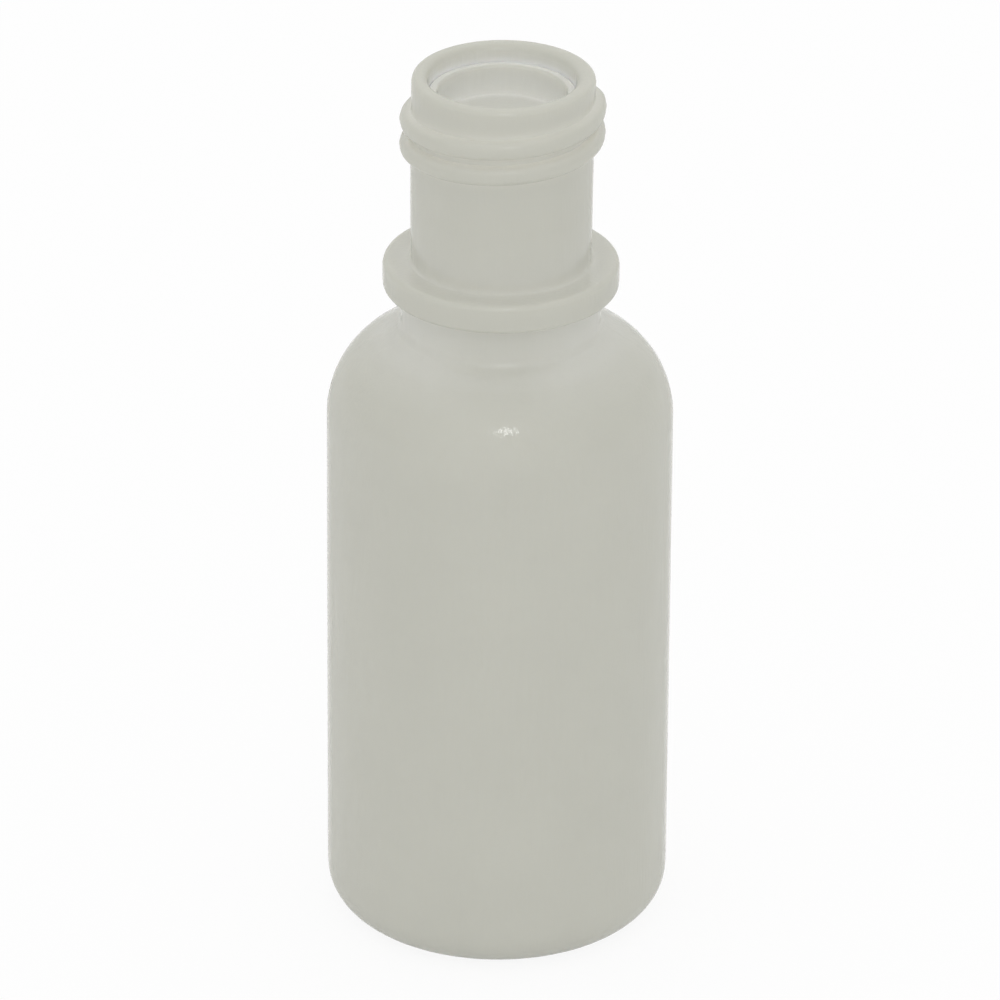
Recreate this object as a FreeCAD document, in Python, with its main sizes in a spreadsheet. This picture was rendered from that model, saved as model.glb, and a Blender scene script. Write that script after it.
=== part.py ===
"""Squeeze dropper bottle: a blown polyethylene bottle and the dropper insert pressed into its neck.

The frame is in millimetres, with +Z up the bottle's axis and the origin in the middle of its foot.
The halves of the blow mould part on the XZ plane.
"""

import FreeCAD, Part
import os

import Sketcher
from FreeCAD import Placement, Rotation, Vector

# ------------------------------------------------------------------ driving sizes (mm, degrees)

SIZES = {
    # blown body
    "body_diameter": "22.0",
    "body_wall": "0.9",
    "base_thickness": "1.1",
    "heel_radius": "2.7",
    "foot_diameter": "15.0",
    "foot_land": "0.6",
    "recess_depth": "0.6",
    "recess_run": "2.5",
    "shoulder_height": "41.15",
    "shoulder_angle": "34.0",
    "shoulder_radius": "5.8",
    "shoulder_fillet": "0.8",
    # neck, from the shoulder up
    "lower_neck_diameter": "12.6",
    "lower_neck_length": "2.55",
    "collar_diameter": "14.9",
    "collar_thickness": "1.9",
    "collar_rounding": "0.35",
    "neck_diameter": "11.56",
    "neck_draft": "0.18",
    "neck_fillet": "0.25",
    "finish_length": "12.55",
    "lip_rounding": "0.5",
    "lip_land": "0.1",
    "neck_bore": "9.3",
    "throat_bore": "8.4",
    "throat_fillet": "0.8",
    # thread, a right-hand ridge that starts low at the back of the neck
    "thread_diameter": "12.87",
    "thread_pitch": "1.73",
    "thread_turns": "1.68",
    "thread_depth_below_lip": "4.89",
    "thread_start_angle": "135.0",
    "thread_root_width": "1.25",
    "thread_crest_width": "0.85",
    "thread_rounding": "0.3",
    "thread_rooting": "0.4",
    # dropper insert
    "insert_depth": "1.12",
    "insert_length": "6.8",
    "insert_clearance": "0.03",
    "insert_wall": "0.6",
    "insert_rounding": "0.15",
    "rim_height": "0.8",
    "cup_wall": "0.55",
    "cup_depth": "1.95",
    "deck_thickness": "0.8",
    "rib_height": "0.1",
    "rib_width": "0.5",
    "rib_pitch": "1.5",
    "rib_count": "3",
    "orifice_diameter": "0.8",
    "drip_lip_height": "0.4",
    "drip_lip_diameter": "1.7",
    "tube_diameter": "2.2",
    "tube_length": "2.2",
}

# ------------------------------------------------------------------ radii and heights from them

BODY_R = "Sizes.body_diameter / 2"
INNER_R = f"({BODY_R} - Sizes.body_wall)"
FOOT_R = "Sizes.foot_diameter / 2"
HEEL_ROUNDING = f"min(Sizes.heel_radius; {BODY_R} - {FOOT_R} - Sizes.foot_land)"
LOWER_NECK_R = "Sizes.lower_neck_diameter / 2"
COLLAR_R = "Sizes.collar_diameter / 2"
NECK_R = "Sizes.neck_diameter / 2"
NECK_FOOT_R = "(Sizes.neck_diameter - Sizes.neck_draft) / 2"
BORE_R = "Sizes.neck_bore / 2"
THROAT_R = "Sizes.throat_bore / 2"

COLLAR_BOTTOM = "(Sizes.shoulder_height + Sizes.lower_neck_length)"
COLLAR_TOP = f"({COLLAR_BOTTOM} + Sizes.collar_thickness)"
LIP_TOP = f"({COLLAR_TOP} + Sizes.finish_length)"
SEAT = f"({LIP_TOP} - Sizes.insert_depth - Sizes.insert_length)"
LIP_WALL = "(Sizes.neck_diameter - Sizes.neck_bore) / 2"
LIP_ROUNDING = f"min(Sizes.lip_rounding; ({LIP_WALL} - Sizes.lip_land) / 2)"


def shoulder_z(radius, wall="0"):
    """Height of the shoulder's cone at a radius, or of the surface that lies a wall inside it."""
    rise = f"({LOWER_NECK_R} - {radius}) * tan(Sizes.shoulder_angle)"
    return f"Sizes.shoulder_height + {rise} - {wall} / cos(Sizes.shoulder_angle)"


# ------------------------------------------------------------------ document and helpers

doc = FreeCAD.newDocument("dropper_bottle")
sheet = doc.addObject("Spreadsheet::Sheet", "Sizes")
for row, (alias, size) in enumerate(SIZES.items(), start=1):
    sheet.set(f"A{row}", alias)
    sheet.set(f"B{row}", size)
    sheet.setAlias(f"B{row}", alias)
doc.recompute()


def value(expression):
    """What an expression of the sheet comes to, as a plain number."""
    return float(sheet.evalExpression(expression))


def origin_part(body, role):
    """One of the planes or axes of the body's own origin."""
    return next(item for item in body.Origin.OriginFeatures if item.Role == role)


def new_body(label):
    """An empty body for one piece."""
    body = doc.addObject("PartDesign::Body", label)
    body.Label = label
    return body


def new_sketch(body, name, turn=None, height=None):
    """A sketch on the body's XZ plane, or on that plane turned about Z and raised."""
    sketch = body.newObject("Sketcher::SketchObject", name)
    sketch.AttachmentSupport = [(origin_part(body, "XZ_Plane"), "")]
    sketch.MapMode = "FlatFace"
    if turn is not None:
        sketch.AttachmentOffset = Placement(Vector(), Rotation(Vector(0, 1, 0), value(turn)))
        sketch.setExpression("AttachmentOffset.Rotation.Angle", turn)
        sketch.setExpression("AttachmentOffset.Base.y", height)
    return sketch


def place_point(sketch, geometry, end, name, x, z):
    """Hold a point at two expressions, each "0" being a place on the sketch's own axis."""
    for axis, kind, label, place in ((-2, "DistanceX", "x", x), (-1, "DistanceY", "z", z)):
        if place == "0":
            sketch.addConstraint(Sketcher.Constraint("PointOnObject", geometry, end, axis))
            continue
        number = sketch.addConstraint(Sketcher.Constraint(kind, -1, 1, geometry, end, value(place)))
        sketch.renameConstraint(number, f"{name}_{label}")
        sketch.setExpression(f"Constraints.{name}_{label}", place)


def outline(sketch, corners):
    """Draw a closed outline of straight lines.

    Each corner is (name, x, z, rounding), in order round the outline. The places are those of the
    sharp corner, and a rounding of None leaves it sharp.
    """
    sharp = [Vector(value(x), value(z), 0) for name, x, z, rounding in corners]
    arrive = list(sharp)
    leave = list(sharp)
    middle = {}
    for index, (name, x, z, rounding) in enumerate(corners):
        if rounding is None:
            continue
        back = (sharp[index - 1] - sharp[index]).normalize()
        ahead = (sharp[(index + 1) % len(sharp)] - sharp[index]).normalize()
        inward = (back + ahead).normalize()
        slant = inward.dot(ahead)
        rise = (1 - slant**2) ** 0.5
        radius = value(rounding)
        arrive[index] = sharp[index] + back * (radius * slant / rise)
        leave[index] = sharp[index] + ahead * (radius * slant / rise)
        middle[index] = sharp[index] + inward * (radius / rise - radius)

    lines = []
    for index, start in enumerate(leave):
        lines.append(sketch.addGeometry(Part.LineSegment(start, arrive[(index + 1) % len(arrive)])))
    for index, (name, x, z, rounding) in enumerate(corners):
        before, after = lines[index - 1], lines[index]
        if rounding is None:
            sketch.addConstraint(Sketcher.Constraint("Coincident", before, 2, after, 1))
            place_point(sketch, after, 1, name, x, z)
            continue
        arc = sketch.addGeometry(Part.Arc(arrive[index], middle[index], leave[index]))
        first = 1 if sketch.getPoint(arc, 1).isEqual(arrive[index], 1e-6) else 2
        sketch.addConstraint(Sketcher.Constraint("Tangent", before, 2, arc, first))
        sketch.addConstraint(Sketcher.Constraint("Tangent", arc, 3 - first, after, 1))
        number = sketch.addConstraint(Sketcher.Constraint("Radius", arc, value(rounding)))
        sketch.renameConstraint(number, f"{name}_rounding")
        sketch.setExpression(f"Constraints.{name}_rounding", rounding)
        corner = sketch.addGeometry(Part.Point(sharp[index]), True)
        sketch.addConstraint(Sketcher.Constraint("PointOnObject", corner, 1, before))
        sketch.addConstraint(Sketcher.Constraint("PointOnObject", corner, 1, after))
        place_point(sketch, corner, 1, name, x, z)


def revolve(body, name, sketch, axis="V_Axis"):
    """A full turn of a sketch about its upright or its level axis."""
    turned = body.newObject("PartDesign::Revolution", name)
    turned.Profile = sketch
    turned.ReferenceAxis = (sketch, [axis])
    turned.Angle = 360
    return turned


# ------------------------------------------------------------------ bottle


def make_bottle():
    """The blown bottle, hollow from its foot to its open mouth, with its thread."""
    body = new_body("bottle")
    recess_r = f"{FOOT_R} - Sizes.recess_run"
    floor = "Sizes.base_thickness + Sizes.recess_depth"
    wall = new_sketch(body, "bottle_wall")
    outline(wall, [
        ("foot_middle", "0", "Sizes.recess_depth", None),
        ("recess_edge", recess_r, "Sizes.recess_depth", "Sizes.recess_run"),
        ("foot", FOOT_R, "0", None),
        ("heel", BODY_R, "0", HEEL_ROUNDING),
        ("shoulder", BODY_R, shoulder_z(BODY_R), "Sizes.shoulder_radius"),
        ("neck_base", LOWER_NECK_R, "Sizes.shoulder_height", "Sizes.shoulder_fillet"),
        ("under_collar", LOWER_NECK_R, COLLAR_BOTTOM, None),
        ("collar_low", COLLAR_R, COLLAR_BOTTOM, "Sizes.collar_rounding"),
        ("collar_high", COLLAR_R, COLLAR_TOP, "Sizes.collar_rounding"),
        ("neck_foot", NECK_FOOT_R, COLLAR_TOP, "Sizes.neck_fillet"),
        ("lip_outside", NECK_R, LIP_TOP, LIP_ROUNDING),
        ("lip_inside", BORE_R, LIP_TOP, LIP_ROUNDING),
        ("seat_outside", BORE_R, SEAT, None),
        ("seat_inside", THROAT_R, SEAT, None),
        ("throat", THROAT_R, shoulder_z(THROAT_R, "Sizes.body_wall"), "Sizes.throat_fillet"),
        ("inner_shoulder", INNER_R, shoulder_z(INNER_R, "Sizes.body_wall"),
         "Sizes.shoulder_radius - Sizes.body_wall"),
        ("inner_heel", INNER_R, "Sizes.base_thickness", f"{HEEL_ROUNDING} - Sizes.body_wall"),
        ("floor_foot", FOOT_R, "Sizes.base_thickness", None),
        ("floor_edge", recess_r, floor, None),
        ("floor_middle", "0", floor, None),
    ])
    revolve(body, "blown_wall", wall)
    add_thread(body)
    return body


def add_thread(body):
    """The neck's thread: a rounded ridge swept up a helix, with a round boss to end it each way."""
    root_r = f"{NECK_R} - Sizes.thread_rooting"
    crest_r = "Sizes.thread_diameter / 2"
    root = "Sizes.thread_root_width / 2"
    crest = "Sizes.thread_crest_width / 2"
    start = f"{LIP_TOP} - Sizes.thread_depth_below_lip"
    turn = "Sizes.thread_start_angle"

    ridge = new_sketch(body, "thread_section", turn, start)
    outline(ridge, [
        ("root_low", root_r, f"-{root}", None),
        ("crest_low", crest_r, f"-{crest}", "Sizes.thread_rounding"),
        ("crest_high", crest_r, crest, "Sizes.thread_rounding"),
        ("root_high", root_r, root, None),
    ])
    thread = body.newObject("PartDesign::AdditiveHelix", "thread")
    thread.Profile = ridge
    thread.ReferenceAxis = (ridge, ["V_Axis"])
    thread.Mode = "pitch-turns-angle"
    thread.setExpression("Pitch", "Sizes.thread_pitch")
    thread.setExpression("Turns", "Sizes.thread_turns")

    finish_turn = f"{turn} + 360 * Sizes.thread_turns"
    finish = f"{start} + Sizes.thread_pitch * Sizes.thread_turns"
    for name, angle, height in (("start", turn, start), ("finish", finish_turn, finish)):
        end = new_sketch(body, f"thread_{name}_section", angle, height)
        outline(end, [
            ("root", root_r, "0", None),
            ("crest", crest_r, "0", None),
            ("crest_high", crest_r, crest, "Sizes.thread_rounding"),
            ("root_high", root_r, root, None),
        ])
        revolve(body, f"thread_{name}", end, "H_Axis")


# ------------------------------------------------------------------ dropper insert


def make_insert():
    """The dropper insert: a recessed cup with a drip hole, on a ribbed skirt that seals the neck."""
    body = new_body("dropper_insert")
    seal_r = f"({BORE_R} - Sizes.insert_clearance)"
    skirt_r = f"({seal_r} - Sizes.rib_height)"
    cup_r = f"{seal_r} - Sizes.cup_wall"
    hollow_r = f"{skirt_r} - Sizes.insert_wall"
    orifice_r = "Sizes.orifice_diameter / 2"
    tube_r = "Sizes.tube_diameter / 2"
    top = "Sizes.insert_length"
    rim_low = f"({top} - Sizes.rim_height)"
    deck = f"({top} - Sizes.cup_depth)"
    under_deck = f"({deck} - Sizes.deck_thickness)"
    drip_lip = f"{deck} + Sizes.drip_lip_height"
    tube_end = f"{under_deck} - Sizes.tube_length"
    rounding = "Sizes.insert_rounding"

    section = new_sketch(body, "insert_section")
    outline(section, [
        ("drip_hole_top", orifice_r, drip_lip, None),
        ("drip_lip", "Sizes.drip_lip_diameter / 2", drip_lip, None),
        ("drip_lip_root", tube_r, deck, None),
        ("cup_floor", cup_r, deck, rounding),
        ("rim_inside", cup_r, top, rounding),
        ("rim_outside", seal_r, top, rounding),
        ("rim_low", seal_r, rim_low, None),
        ("skirt_top", skirt_r, rim_low, None),
        ("skirt_foot_outside", skirt_r, "0", rounding),
        ("skirt_foot_inside", hollow_r, "0", None),
        ("under_deck", hollow_r, under_deck, rounding),
        ("tube_root", tube_r, under_deck, None),
        ("tube_end_outside", tube_r, tube_end, None),
        ("drip_hole_bottom", orifice_r, tube_end, None),
    ])
    revolve(body, "insert_moulding", section)

    rib_z = f"({rim_low} - Sizes.rib_pitch)"
    rib_section = new_sketch(body, "rib_section")
    outline(rib_section, [
        ("root_low", f"{skirt_r} - Sizes.rib_height", f"{rib_z} - Sizes.rib_width / 2", None),
        ("crest_low", seal_r, f"{rib_z} - Sizes.rib_width / 4", None),
        ("crest_high", seal_r, f"{rib_z} + Sizes.rib_width / 4", None),
        ("root_high", f"{skirt_r} - Sizes.rib_height", f"{rib_z} + Sizes.rib_width / 2", None),
    ])
    rib = revolve(body, "sealing_rib", rib_section)
    ribs = body.newObject("PartDesign::LinearPattern", "sealing_ribs")
    ribs.Originals = [rib]
    ribs.Direction = (origin_part(body, "Z_Axis"), [""])
    ribs.Reversed = True
    ribs.setExpression("Length", "Sizes.rib_pitch * (Sizes.rib_count - 1)")
    ribs.setExpression("Occurrences", "Sizes.rib_count")
    body.Tip = ribs
    body.setExpression("Placement.Base.z", SEAT)
    return body


# ------------------------------------------------------------------ build, check and write

pieces = [make_bottle(), make_insert()]
doc.recompute()

for item in doc.Objects:
    if "Invalid" in item.State or "Error" in item.State:
        raise RuntimeError(f"{item.Label} failed: {item.State}")
for piece in pieces:
    shape = piece.Shape
    if shape.isNull() or not shape.isValid() or len(shape.Solids) != 1:
        raise RuntimeError(f"{piece.Label} isn't one valid solid")

os.makedirs("parts", exist_ok=True)
for piece in pieces:
    piece.Shape.exportStep(f"parts/{piece.Label}.step")
    box = piece.Shape.BoundBox
    print(f"{piece.Label}: {piece.Shape.Volume:.1f} mm3, z {box.ZMin:.2f} to {box.ZMax:.2f}")
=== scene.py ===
"""Looks of the squeeze dropper bottle: a blown bottle of milky polyethylene and its dropper insert.

Outlines are written in millimetres and scaled to metres when they become meshes. Angles round the
bottle's axis run anticlockwise seen from above, from +X, where the mould's halves part, and the
front of the bottle faces -Y.
"""

import math

import bmesh
import bpy
from mathutils import Matrix, Vector


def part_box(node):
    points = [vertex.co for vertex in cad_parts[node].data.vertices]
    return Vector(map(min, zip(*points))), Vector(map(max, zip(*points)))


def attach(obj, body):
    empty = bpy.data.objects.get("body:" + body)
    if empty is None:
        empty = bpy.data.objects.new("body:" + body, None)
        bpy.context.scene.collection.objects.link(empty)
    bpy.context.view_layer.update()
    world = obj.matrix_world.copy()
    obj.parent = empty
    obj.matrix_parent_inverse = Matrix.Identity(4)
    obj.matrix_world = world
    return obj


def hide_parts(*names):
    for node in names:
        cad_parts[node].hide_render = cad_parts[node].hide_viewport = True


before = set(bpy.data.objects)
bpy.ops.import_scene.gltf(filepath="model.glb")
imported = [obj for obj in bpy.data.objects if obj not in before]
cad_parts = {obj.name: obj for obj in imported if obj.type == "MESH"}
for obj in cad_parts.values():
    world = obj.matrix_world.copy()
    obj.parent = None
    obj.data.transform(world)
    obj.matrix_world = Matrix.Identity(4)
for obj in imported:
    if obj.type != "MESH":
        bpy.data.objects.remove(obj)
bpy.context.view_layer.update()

MM = 0.001
TURN = 2 * math.pi

# ------------------------------------------------------------------ sizes, in millimetres

_, bottle_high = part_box("bottle")
insert_low, insert_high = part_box("dropper_insert")
LIP_TOP = bottle_high[2] / MM - 0.02
SEAT = insert_low[2] / MM
RIM_TOP = insert_high[2] / MM
SEAL_R = insert_high[0] / MM

SEAM = 0.02
SEAM_HALF_WIDTH = 0.09
SEAM_FADE = 0.4
PINCH = 0.12
PINCH_HALF_WIDTH = 0.16
PINCH_HALF_LENGTH = 6.2
PINCH_FADE = 0.8
NECK_LEAN = 0.1

BODY_R = bottle_high[0] / MM - SEAM
WALL = 0.9
BASE = 1.1
HEEL_ROUNDING = 2.6
FOOT_R = 7.5
RECESS_DEPTH = 0.6
RECESS_RUN = 2.5
SHOULDER_TOP = 41.15
SHOULDER_SLOPE = math.tan(math.radians(34))
SHOULDER_ROUNDING = 5.8
LOWER_NECK_R = 6.3
NECK_FILLET = 0.8
COLLAR_R = 7.45
COLLAR_LOW = 43.7
COLLAR_HIGH = 45.6
COLLAR_ROUNDING = 0.35
NECK_FOOT_R = 5.68
NECK_R = 5.755
LIP_ROUNDING = 0.35
BORE_ROUNDING = 0.5
BORE_R = 4.65
THROAT_R = 4.2

THREAD_R = 6.46
THREAD_PITCH = 1.73
THREAD_HALF_WIDTH = 0.63
THREAD_SQUARENESS = 2.4
THREAD_FOOT = 0.12
THREAD_START = math.radians(135)
THREAD_TURNS = 1.68
THREAD_START_Z = LIP_TOP - 4.89
THREAD_FADE = math.radians(24)
THREAD_LOW = LIP_TOP - 6.2
THREAD_HIGH = LIP_TOP - 0.9

RIM_HEIGHT = 0.8
RIB_SPACING = 1.5
INSERT_ROUNDING = 0.15
INSERT_CUP_R = SEAL_R - 0.55
INSERT_SKIRT_R = SEAL_R - 0.1
INSERT_HOLLOW_R = INSERT_SKIRT_R - 0.6
INSERT_DECK = RIM_TOP - 1.95
INSERT_UNDER_DECK = INSERT_DECK - 0.8
HOLE_R = 0.4
DRIP_LIP_TOP = INSERT_DECK + 0.4
TUBE_R = 1.1
TUBE_LOW = INSERT_UNDER_DECK - 2.2

COLUMNS = 384
INSERT_COLUMNS = 192
ROWS_PER_PITCH = 32
LONGEST_STEP = 0.8
WELD = 2e-4

# ------------------------------------------------------------------ the plastic, sizes in millimetres

CLOUDINESS = 0.015
CLOUD_SCALE = 160
ROUGH_SCALE = 420
ROUGHNESS = (0.1, 0.14)

# Each layer of the moulded texture: scale, detail, stretch along Z and depth.
TEXTURE = (
    (90, 2, 1, 0.0015),
    (1500, 3, 1, 0.0005),
    (3500, 2, 7, 0.008),
)

# Painted light laid into the base colour to cancel shade: its colour, the reach of the occlusion that
# finds hollows, the radii of the mouth and of the deck's edge, and the heights above the body where
# it comes in.
PAINTED_LIGHT_COLOUR = (0.95, 0.95, 0.93, 1)
SHADE_REACH = 4
MOUTH_R = BORE_R + 0.1
MOUTH_END_R = BORE_R + 0.5
DECK_EDGE_R = 3.4
LIT_FROM_Z = 35
LIT_FULLY_Z = 38

# Painted light on the shoulder round the lower neck, paler towards the two sides: its amount, by
# radius, and by distance to the side of its middle.
SHOULDER_LIGHT = 0.12
SHOULDER_LIGHT_R = 7.4
SHOULDER_LIGHT_END_R = 9.8
SHOULDER_LIGHT_SIDE = 4.5
SHOULDER_LIGHT_MIDDLE = 1.5
MIDDLE_SHARE = 0.25

# The gloss, which weakens from one slant of the surface to another.
GLOSS = 0.5
EDGE_GLOSS = 0.03
GLOSS_FALLS_FROM = 0.4
GLOSS_FALLS_TO = 0.78

# ------------------------------------------------------------------ light levels

EVEN = 0.985
OVERHEAD = 0.08
SIDES = 0.25
FLOOR_WHITE = 0.9

# ------------------------------------------------------------------ outlines


def rounded(corners, step=math.radians(7)):
    """Points (r, z) along a line of corners (r, z, rounding), each rounding drawn as an arc."""
    points = []
    for index, (r, z, rounding) in enumerate(corners):
        corner = Vector((r, z))
        if not rounding:
            points.append(corner)
            continue
        back = (Vector(corners[index - 1][:2]) - corner).normalized()
        ahead = (Vector(corners[index + 1][:2]) - corner).normalized()
        half = back.angle(ahead) / 2
        centre = corner + (back + ahead).normalized() * (rounding / math.sin(half))
        start = corner + back * (rounding / math.tan(half)) - centre
        sweep = math.pi - 2 * half
        side = 1 if back.cross(ahead) < 0 else -1
        count = max(2, math.ceil(sweep / step))
        for k in range(count + 1):
            points.append(centre + Matrix.Rotation(side * sweep * k / count, 2) @ start)
    return points


def spread(points, longest):
    """The same line with its straight stretches cut so that no step is over a length."""
    dense = [points[0]]
    for before, after in zip(points, points[1:]):
        count = max(1, math.ceil((after - before).length / longest))
        dense += [before.lerp(after, k / count) for k in range(1, count + 1)]
    return dense


def shoulder_z(r, wall=0.0):
    """Height of the shoulder's cone at a radius, or of the surface that lies a wall inside it."""
    drop = wall * math.hypot(1, SHOULDER_SLOPE)
    return SHOULDER_TOP + (LOWER_NECK_R - r) * SHOULDER_SLOPE - drop


# ------------------------------------------------------------------ relief of the blown wall


def smooth(x):
    """0 below 0, 1 above 1, and an even rise between."""
    x = min(1.0, max(0.0, x))
    return x * x * (3 - 2 * x)


def thread_height(angle, z):
    """How far the thread stands out of the neck there."""
    height = 0.0
    for turn in range(3):
        along = angle + turn * TURN - THREAD_START
        middle = THREAD_START_Z + THREAD_PITCH * along / TURN
        across = abs(z - middle) / THREAD_HALF_WIDTH
        foot = 1 + THREAD_FOOT / THREAD_HALF_WIDTH
        if across < foot:
            length = THREAD_TURNS * TURN
            ends = smooth(along / THREAD_FADE + 0.5) * smooth((length - along) / THREAD_FADE + 0.5)
            crest = max(0, 1 - across**THREAD_SQUARENESS) ** (1 / THREAD_SQUARENESS)
            flare = THREAD_FOOT * (1 - smooth((across - 0.8) / (foot - 0.8)))
            height = max(height, ends * max(crest * (THREAD_R - NECK_R), flare))
    return height


def seam_height(angle, z):
    """The raised line that the two halves of the mould leave on each side, up to the lip."""
    from_seam = abs(math.remainder(angle, math.pi)) * BODY_R
    return SEAM * math.exp(-((from_seam / SEAM_HALF_WIDTH) ** 2)) * smooth((LIP_TOP - z) / SEAM_FADE)


def pinch_height(x, y, z):
    """The low ridge under the base where the mould pinched off the blown tube."""
    if z > RECESS_DEPTH + 0.01:
        return 0.0
    along = smooth((PINCH_HALF_LENGTH - abs(x)) / PINCH_FADE)
    return PINCH * math.exp(-((y / PINCH_HALF_WIDTH) ** 2)) * along


def lean(r, z):
    """How far the outside of the neck leans to +X on its way up."""
    outside = smooth((r - BORE_R) / (NECK_R - BORE_R))
    return NECK_LEAN * outside * max(0, (z - COLLAR_HIGH) / (LIP_TOP - COLLAR_HIGH)) ** 3


def turned(angle, r, z):
    """A point of a plain turned piece."""
    return r * math.cos(angle), r * math.sin(angle), z


def inner_skin(angle, r, z):
    """A point of the bottle's inside."""
    return r * math.cos(angle) + lean(r, z), r * math.sin(angle), z


def outer_skin(angle, r, z):
    """A point of the bottle's outside, with the marks that the mould leaves."""
    r += seam_height(angle, z)
    x, y = r * math.cos(angle), r * math.sin(angle)
    return x + lean(r, z), y, z - pinch_height(x, y, z)


# ------------------------------------------------------------------ meshes


def column_angles():
    """The angles of the bottle's mesh columns: even ones, and close ones beside each seam."""
    even = {round(k * 360 / COLUMNS, 4) for k in range(COLUMNS)}
    close = {round(seam + side * off, 4) % 360 for seam in (0, 180) for side in (-1, 1)
             for off in (0.2, 0.4, 0.6, 0.8, 1.2)}
    return [math.radians(a) for a in sorted(even | close)]


def lathe(mesh, points, angles, skin):
    """Turn a line of points (r, z) about the axis, each put in place by a skin."""
    rings = []
    for r, z in points:
        if r < 1e-6:
            rings.append([mesh.verts.new(skin(0, 0, z))])
            continue
        rings.append([mesh.verts.new(skin(a, r, z)) for a in angles])
    for below, above in zip(rings, rings[1:]):
        for k in range(len(angles)):
            n = (k + 1) % len(angles)
            loop = [below[k % len(below)], below[n % len(below)],
                    above[n % len(above)], above[k % len(above)]]
            mesh.faces.new(list(dict.fromkeys(loop)))


def finish_mesh(mesh, name, sharp=40):
    """Scale a mesh from millimetres, shade it smooth but for its sharp edges, and make its object."""
    bmesh.ops.recalc_face_normals(mesh, faces=mesh.faces)
    bmesh.ops.scale(mesh, vec=(MM, MM, MM), verts=mesh.verts)
    data = bpy.data.meshes.new(name)
    mesh.to_mesh(data)
    mesh.free()
    data.shade_smooth()
    data.set_sharp_from_angle(angle=math.radians(sharp))
    piece = bpy.data.objects.new(name, data)
    bpy.context.collection.objects.link(piece)
    return piece


def neck_r(z):
    """The neck's own radius at a height, with its draft."""
    along = (z - COLLAR_HIGH) / (LIP_TOP - COLLAR_HIGH)
    return NECK_FOOT_R + (NECK_R - NECK_FOOT_R) * along


def threaded_wall(mesh, angles, low, high):
    """The neck's outer wall between two heights, in rows that rise with the thread.

    What a row would have below or above the wall is gathered at its edge, to be merged there.
    """
    step = THREAD_PITCH / ROWS_PER_PITCH
    first = math.floor((low - THREAD_PITCH - THREAD_START_Z) / step)
    last = math.ceil((high + THREAD_PITCH - THREAD_START_Z) / step)
    rows = []
    for i in range(first, last + 1):
        row = []
        for angle in angles:
            z = THREAD_START_Z + i * step + THREAD_PITCH * (angle - THREAD_START) / TURN
            z = min(high, max(low, z))
            row.append(mesh.verts.new(outer_skin(angle, neck_r(z) + thread_height(angle, z), z)))
        rows.append(row)
    for i in range(len(rows) - 1):
        for k in range(len(angles) - 1):
            mesh.faces.new((rows[i][k], rows[i][k + 1], rows[i + 1][k + 1], rows[i + 1][k]))
    for i in range(len(rows) - 1 - ROWS_PER_PITCH):
        up = i + ROWS_PER_PITCH
        mesh.faces.new((rows[i][-1], rows[up][0], rows[up + 1][0], rows[i + 1][-1]))


def make_bottle():
    """The blown bottle: outside from the foot up to the lip, then the inside back down."""
    angles = column_angles()
    outside = rounded([
        (0, RECESS_DEPTH, 0),
        (FOOT_R - RECESS_RUN, RECESS_DEPTH, RECESS_RUN),
        (FOOT_R, 0, 0.12),
        (BODY_R, 0, HEEL_ROUNDING),
        (BODY_R, shoulder_z(BODY_R), SHOULDER_ROUNDING),
        (LOWER_NECK_R, SHOULDER_TOP, NECK_FILLET),
        (LOWER_NECK_R, COLLAR_LOW, 0.2),
        (COLLAR_R, COLLAR_LOW, COLLAR_ROUNDING),
        (COLLAR_R, COLLAR_HIGH, COLLAR_ROUNDING),
        (NECK_FOOT_R, COLLAR_HIGH, 0.25),
        (neck_r(THREAD_LOW), THREAD_LOW, 0),
    ])
    crest = ((NECK_R + BORE_R) / 2, LIP_TOP, 0)
    lip = rounded([(neck_r(THREAD_HIGH), THREAD_HIGH, 0), (NECK_R, LIP_TOP, LIP_ROUNDING), crest])
    inside = rounded([
        crest,
        (BORE_R, LIP_TOP, BORE_ROUNDING),
        (BORE_R, SEAT, 0),
        (THROAT_R, SEAT, 0),
        (THROAT_R, shoulder_z(THROAT_R, WALL), NECK_FILLET),
        (BODY_R - WALL, shoulder_z(BODY_R - WALL, WALL), SHOULDER_ROUNDING - WALL),
        (BODY_R - WALL, BASE, HEEL_ROUNDING - WALL),
        (FOOT_R, BASE, 0),
        (FOOT_R - RECESS_RUN, BASE + RECESS_DEPTH, 0),
        (0, BASE + RECESS_DEPTH, 0),
    ])
    mesh = bmesh.new()
    lathe(mesh, spread(outside, LONGEST_STEP), angles, outer_skin)
    threaded_wall(mesh, angles, THREAD_LOW, THREAD_HIGH)
    lathe(mesh, spread(lip, LONGEST_STEP), angles, outer_skin)
    lathe(mesh, spread(inside, LONGEST_STEP), angles, inner_skin)
    bmesh.ops.remove_doubles(mesh, verts=mesh.verts, dist=WELD)
    return finish_mesh(mesh, "bottle_moulding")


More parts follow.
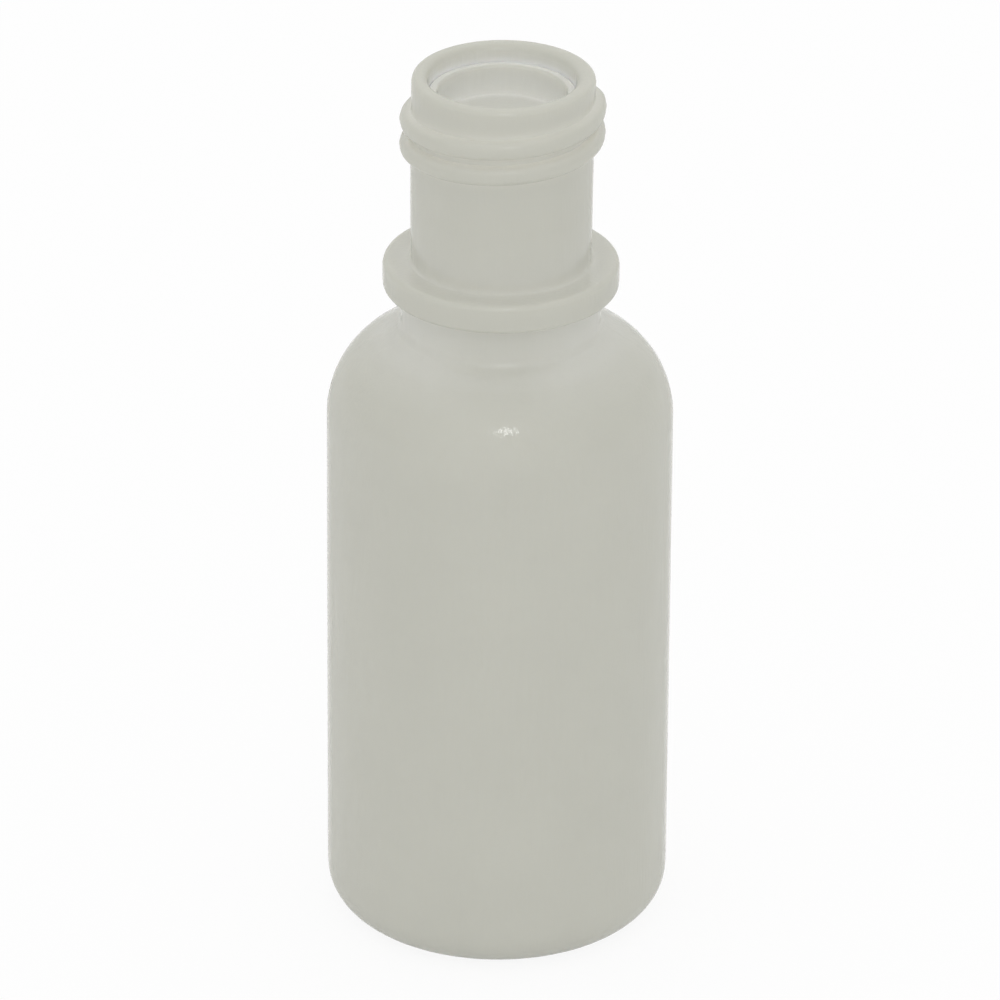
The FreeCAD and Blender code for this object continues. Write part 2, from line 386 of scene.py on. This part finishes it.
def make_insert():
    """The dropper insert: rim, cup and drip hole over a ribbed skirt."""
    skirt = [(INSERT_HOLLOW_R, SEAT, 0), (INSERT_SKIRT_R, SEAT, INSERT_ROUNDING)]
    rib = ((-0.25, INSERT_SKIRT_R), (-0.125, SEAL_R), (0.125, SEAL_R), (0.25, INSERT_SKIRT_R))
    for place in (3, 2, 1):
        middle = RIM_TOP - RIM_HEIGHT - RIB_SPACING * place
        skirt += [(r, middle + off, 0) for off, r in rib]
    outline = rounded(skirt + [
        (INSERT_SKIRT_R, RIM_TOP - RIM_HEIGHT, 0),
        (SEAL_R, RIM_TOP - RIM_HEIGHT, 0),
        (SEAL_R, RIM_TOP, INSERT_ROUNDING),
        (INSERT_CUP_R, RIM_TOP, INSERT_ROUNDING),
        (INSERT_CUP_R, INSERT_DECK, INSERT_ROUNDING),
        (TUBE_R, INSERT_DECK, INSERT_ROUNDING),
        (0.85, DRIP_LIP_TOP, 0.12),
        (HOLE_R, DRIP_LIP_TOP, 0.1),
        (HOLE_R, TUBE_LOW, 0),
        (TUBE_R, TUBE_LOW, 0),
        (TUBE_R, INSERT_UNDER_DECK, 0),
        (INSERT_HOLLOW_R, INSERT_UNDER_DECK, INSERT_ROUNDING),
        (INSERT_HOLLOW_R, SEAT, 0),
        skirt[0],
    ])
    mesh = bmesh.new()
    angles = [TURN * k / INSERT_COLUMNS for k in range(INSERT_COLUMNS)]
    lathe(mesh, outline, angles, turned)
    bmesh.ops.remove_doubles(mesh, verts=mesh.verts, dist=WELD)
    return finish_mesh(mesh, "dropper_insert_moulding")


# ------------------------------------------------------------------ materials


def ldpe(name, colour, glow, outside, mouth):
    """Milky natural polyethylene: cloudy inside, waxy outside, with a faint moulded texture.

    The glow is how far light spreads inside it, in millimetres. Painted light makes the base colour
    paler where ambient occlusion finds hollows, to cancel their shade, by one share outside and
    another in the mouth; painted light also makes the shoulder beside the lower neck paler towards
    its two sides. The gloss weakens where the surface turns away.
    """
    material = bpy.data.materials.new(name)
    material.use_nodes = True
    nodes = material.node_tree.nodes
    links = material.node_tree.links
    shader = nodes["Principled BSDF"]
    shader.subsurface_method = "BURLEY"
    shader.inputs["IOR"].default_value = 1.51
    shader.inputs["Subsurface Weight"].default_value = 1.0
    shader.inputs["Subsurface Radius"].default_value = (1.0, 0.95, 0.85)
    shader.inputs["Subsurface Scale"].default_value = glow * MM
    place = nodes.new("ShaderNodeTexCoord")

    def between(value, start, end, low, high):
        """A value's way from a start to an end, given as a number from low to high."""
        ranged = nodes.new("ShaderNodeMapRange")
        ranged.inputs["From Min"].default_value = start
        ranged.inputs["From Max"].default_value = end
        ranged.inputs["To Min"].default_value = low
        ranged.inputs["To Max"].default_value = high
        links.new(value, ranged.inputs["Value"])
        return ranged.outputs["Result"]

    def scaled(scale):
        """The object's own coordinates, scaled along each axis."""
        squeezed = nodes.new("ShaderNodeMapping")
        squeezed.inputs["Scale"].default_value = scale
        links.new(place.outputs["Object"], squeezed.inputs["Vector"])
        return squeezed.outputs["Vector"]

    def cloud(scale, detail, low, high, stretch=1.0):
        """Noise in the object's own space, brought to between two values and drawn out along Z."""
        texture = nodes.new("ShaderNodeTexNoise")
        texture.inputs["Scale"].default_value = scale
        texture.inputs["Detail"].default_value = detail
        links.new(scaled((1, 1, 1 / stretch)), texture.inputs["Vector"])
        return between(texture.outputs["Fac"], 0.3, 0.7, low, high)

    def times(first, second):
        """The product of two values."""
        product = nodes.new("ShaderNodeMath")
        product.operation = "MULTIPLY"
        links.new(first, product.inputs[0])
        links.new(second, product.inputs[1])
        return product.outputs["Value"]

    tint = nodes.new("ShaderNodeMix")
    tint.data_type = "RGBA"
    tint.inputs["A"].default_value = (*(c * (1 - CLOUDINESS) for c in colour), 1)
    tint.inputs["B"].default_value = (*(c * (1 + CLOUDINESS) for c in colour), 1)
    links.new(cloud(CLOUD_SCALE, 4, 0, 1), tint.inputs["Factor"])

    axis_distance = nodes.new("ShaderNodeVectorMath")
    axis_distance.operation = "LENGTH"
    links.new(scaled((1, 1, 0)), axis_distance.inputs[0])
    where = nodes.new("ShaderNodeSeparateXYZ")
    links.new(place.outputs["Object"], where.inputs["Vector"])
    # Painted light: paler base colour in hollows that the ambient occlusion finds, more in the mouth
    # than outside, not on the insert's deck, and only above the body, to cancel the shade there.
    in_bore = between(axis_distance.outputs["Value"], MOUTH_END_R * MM, MOUTH_R * MM, 0, 1)
    off_deck = between(axis_distance.outputs["Value"], DECK_EDGE_R * MM, INSERT_CUP_R * MM, 0, 1)
    above_body = between(where.outputs["Z"], LIT_FROM_Z * MM, LIT_FULLY_Z * MM, 0, 1)
    share = times(between(times(in_bore, off_deck), 0, 1, outside, mouth), above_body)
    occlusion = nodes.new("ShaderNodeAmbientOcclusion")
    occlusion.inputs["Distance"].default_value = SHADE_REACH * MM

    # Painted light: the shoulder beside the lower neck turns paler, more towards the two sides than
    # in front, below the collar and above the body.
    off_centre = nodes.new("ShaderNodeMath")
    off_centre.operation = "ABSOLUTE"
    links.new(where.outputs["X"], off_centre.inputs[0])
    to_side = between(
        off_centre.outputs["Value"], SHOULDER_LIGHT_MIDDLE * MM, SHOULDER_LIGHT_SIDE * MM, MIDDLE_SHARE, 1
    )
    near_neck = between(
        axis_distance.outputs["Value"], SHOULDER_LIGHT_END_R * MM, SHOULDER_LIGHT_R * MM, 0, SHOULDER_LIGHT
    )
    beside_neck = times(to_side, near_neck)
    below_collar = between(where.outputs["Z"], COLLAR_LOW * MM, (COLLAR_LOW - 0.1) * MM, 0, 1)
    painted_shoulder_light = times(times(beside_neck, below_collar), above_body)

    # The painted light of the hollows and of the shoulder is mixed into the base colour here.
    brighter = nodes.new("ShaderNodeMath")
    links.new(times(between(occlusion.outputs["AO"], 1, 0, 0, 1), share), brighter.inputs[0])
    links.new(painted_shoulder_light, brighter.inputs[1])
    painted_light_mix = nodes.new("ShaderNodeMix")
    painted_light_mix.data_type = "RGBA"
    painted_light_mix.inputs["B"].default_value = PAINTED_LIGHT_COLOUR
    links.new(brighter.outputs["Value"], painted_light_mix.inputs["Factor"])
    links.new(tint.outputs["Result"], painted_light_mix.inputs["A"])
    links.new(painted_light_mix.outputs["Result"], shader.inputs["Base Color"])

    links.new(cloud(ROUGH_SCALE, 3, *ROUGHNESS), shader.inputs["Roughness"])
    slant = nodes.new("ShaderNodeLayerWeight")
    gloss = between(slant.outputs["Facing"], GLOSS_FALLS_FROM, GLOSS_FALLS_TO, GLOSS, EDGE_GLOSS)
    links.new(gloss, shader.inputs["Specular IOR Level"])

    bump = None
    for scale, detail, stretch, depth in TEXTURE:
        layer = nodes.new("ShaderNodeBump")
        layer.inputs["Strength"].default_value = 1
        layer.inputs["Distance"].default_value = depth * MM
        links.new(cloud(scale, detail, 0, 1, stretch), layer.inputs["Height"])
        if bump:
            links.new(bump.outputs["Normal"], layer.inputs["Normal"])
        bump = layer
    links.new(bump.outputs["Normal"], shader.inputs["Normal"])
    return material


# ------------------------------------------------------------------ the pieces

bottle = make_bottle()
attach(bottle, "bottle")
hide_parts("bottle")
# The outside and mouth shares set how much painted light fills the bottle's hollows.
bottle.data.materials.append(
    ldpe("bottle_ldpe", colour=(0.52, 0.52, 0.46), glow=0.9, outside=0.5, mouth=1.7)
)

insert = make_insert()
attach(insert, "insert")
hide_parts("dropper_insert")
# The outside and mouth shares set how much painted light fills the insert's hollows.
insert.data.materials.append(
    ldpe("insert_ldpe", colour=(0.54, 0.54, 0.48), glow=0.6, outside=0.8, mouth=1.3)
)

# ------------------------------------------------------------------ stage, light and camera

scene = bpy.context.scene
scene.view_settings.view_transform = "Standard"


def seen_white(tree):
    """A factor of 1 where the camera, a reflection or a clear material looks at the studio."""
    path = tree.nodes.new("ShaderNodeLightPath")
    seen = path.outputs["Is Camera Ray"]
    for kind in ("Is Glossy Ray", "Is Transmission Ray"):
        both = tree.nodes.new("ShaderNodeMath")
        both.operation = "MAXIMUM"
        tree.links.new(seen, both.inputs[0])
        tree.links.new(path.outputs[kind], both.inputs[1])
        seen = both.outputs[0]
    return seen


def make_floor():
    """A plain pale floor, which shows white around the bottle's soft shadow."""
    bpy.ops.mesh.primitive_plane_add(size=3, location=(0, 0, 0))
    floor = bpy.context.object
    floor.name = "floor"
    material = bpy.data.materials.new("floor_paint")
    material.use_nodes = True
    tree = material.node_tree
    paint = tree.nodes["Principled BSDF"]
    paint.inputs["Base Color"].default_value = (0.9, 0.9, 0.9, 1)
    paint.inputs["Roughness"].default_value = 0.9
    white = tree.nodes.new("ShaderNodeEmission")
    white.inputs["Strength"].default_value = 1.0
    lift = tree.nodes.new("ShaderNodeMath")
    lift.operation = "MULTIPLY"
    lift.inputs[1].default_value = FLOOR_WHITE
    tree.links.new(seen_white(tree), lift.inputs[0])
    mixed = tree.nodes.new("ShaderNodeMixShader")
    tree.links.new(lift.outputs[0], mixed.inputs["Fac"])
    tree.links.new(paint.outputs["BSDF"], mixed.inputs[1])
    tree.links.new(white.outputs["Emission"], mixed.inputs[2])
    tree.links.new(mixed.outputs["Shader"], tree.nodes["Material Output"].inputs["Surface"])
    floor.data.materials.append(material)


def make_world():
    """Soft surroundings, a little brighter overhead and a little darker at the two sides."""
    world = bpy.data.worlds.new("studio")
    scene.world = world
    world.use_nodes = True
    tree = world.node_tree
    place = tree.nodes.new("ShaderNodeTexCoord")
    parts = tree.nodes.new("ShaderNodeSeparateXYZ")
    tree.links.new(place.outputs["Generated"], parts.inputs["Vector"])
    sides = tree.nodes.new("ShaderNodeMath")
    sides.operation = "MULTIPLY"
    tree.links.new(parts.outputs["X"], sides.inputs[0])
    tree.links.new(parts.outputs["X"], sides.inputs[1])
    level = tree.nodes.new("ShaderNodeMath")
    level.operation = "MULTIPLY_ADD"
    level.inputs[1].default_value = OVERHEAD
    level.inputs[2].default_value = EVEN
    tree.links.new(parts.outputs["Z"], level.inputs[0])
    dimmed = tree.nodes.new("ShaderNodeMath")
    dimmed.operation = "MULTIPLY_ADD"
    dimmed.inputs[1].default_value = -SIDES
    tree.links.new(sides.outputs[0], dimmed.inputs[0])
    tree.links.new(level.outputs[0], dimmed.inputs[2])
    background = tree.nodes["Background"]
    tree.links.new(dimmed.outputs[0], background.inputs["Color"])
    background.inputs["Strength"].default_value = 1.0


def add_lamp(name, elevation, azimuth, distance, width, height, power):
    """A soft lamp that faces the bottle's shoulder. Azimuth 0 is in front, on the -Y side."""
    data = bpy.data.lights.new(name, "AREA")
    data.shape = "RECTANGLE"
    data.size = width
    data.size_y = height
    data.energy = power
    lamp = bpy.data.objects.new(name, data)
    away = Vector((math.cos(elevation) * math.sin(azimuth), -math.cos(elevation) * math.cos(azimuth),
                   math.sin(elevation)))
    target = Vector((0, 0, SHOULDER_TOP * MM))
    lamp.location = target + away * distance
    lamp.rotation_euler = away.to_track_quat("Z", "Y").to_euler()
    scene.collection.objects.link(lamp)


def make_camera():
    """A long lens from 26.5 degrees above the horizon, leaning 0.4 degrees."""
    elevation = math.radians(26.4957)
    distance = 0.5659
    target = Vector((0.04, 0, 28.53)) * MM
    data = bpy.data.cameras.new("camera")
    data.lens = 319.2
    data.sensor_width = 36
    camera = bpy.data.objects.new("camera", data)
    away = Vector((0, -math.cos(elevation), math.sin(elevation)))
    camera.location = target + away * distance
    facing = away.to_track_quat("Z", "Y").to_matrix()
    camera.rotation_euler = (facing @ Matrix.Rotation(math.radians(0.41), 3, "Z")).to_euler()
    scene.collection.objects.link(camera)
    scene.camera = camera


make_floor()
make_world()
add_lamp(
    "key", elevation=math.radians(42.9), azimuth=math.radians(5.6), distance=0.5,
    width=0.105, height=0.058, power=0.114,
)
make_camera()
